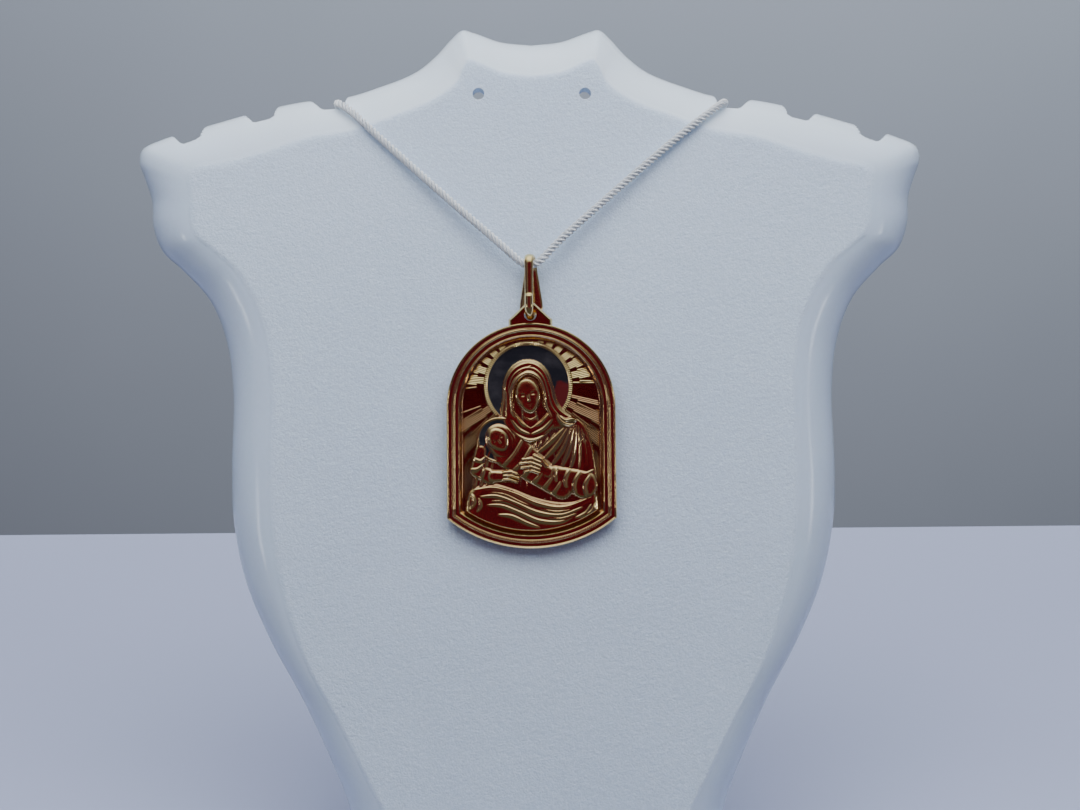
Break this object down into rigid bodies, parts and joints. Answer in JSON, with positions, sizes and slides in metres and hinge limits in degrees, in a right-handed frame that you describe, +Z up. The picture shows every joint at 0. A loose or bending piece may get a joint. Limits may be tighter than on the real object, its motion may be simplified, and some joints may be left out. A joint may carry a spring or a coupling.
{
  "type": "religious medal pendant on a neck bust display",
  "caption": "Arched gold medal with a cast mother-and-child relief, hung by its bail from a twisted cord on a small notched white neck bust.",
  "frame": {"origin": "on the floor, halfway between the bust's front foot and its rear leg's heel, on the bust's middle plane", "axes": "+Z up, -Y towards the viewer, so the medal faces -Y, +X to the viewer's right"},
  "size_m": [0.1068, 0.056, 0.111],
  "materials": {
    "bust_plastic": "white moulded plastic, frosted on the flat face and glossier on the rim",
    "cord": "white twisted synthetic cord with a soft sheen",
    "gold": "polished warm gold"
  },
  "bodies": {
    "display": {"neck_bust": "bust_plastic", "rear_leg": "bust_plastic", "hanging_cord": "cord", "cord_knot": "cord", "bail": "gold"},
    "pendant": {"medal": "gold"}
  },
  "joints": [
    {"name": "medal_swing", "type": "hinge", "parent": "display", "child": "pendant", "pos_m": [-0.0005, -0.00231, 0.07615], "axis": [-1, 0, 0], "range_deg": [0, 90]}
  ]
}
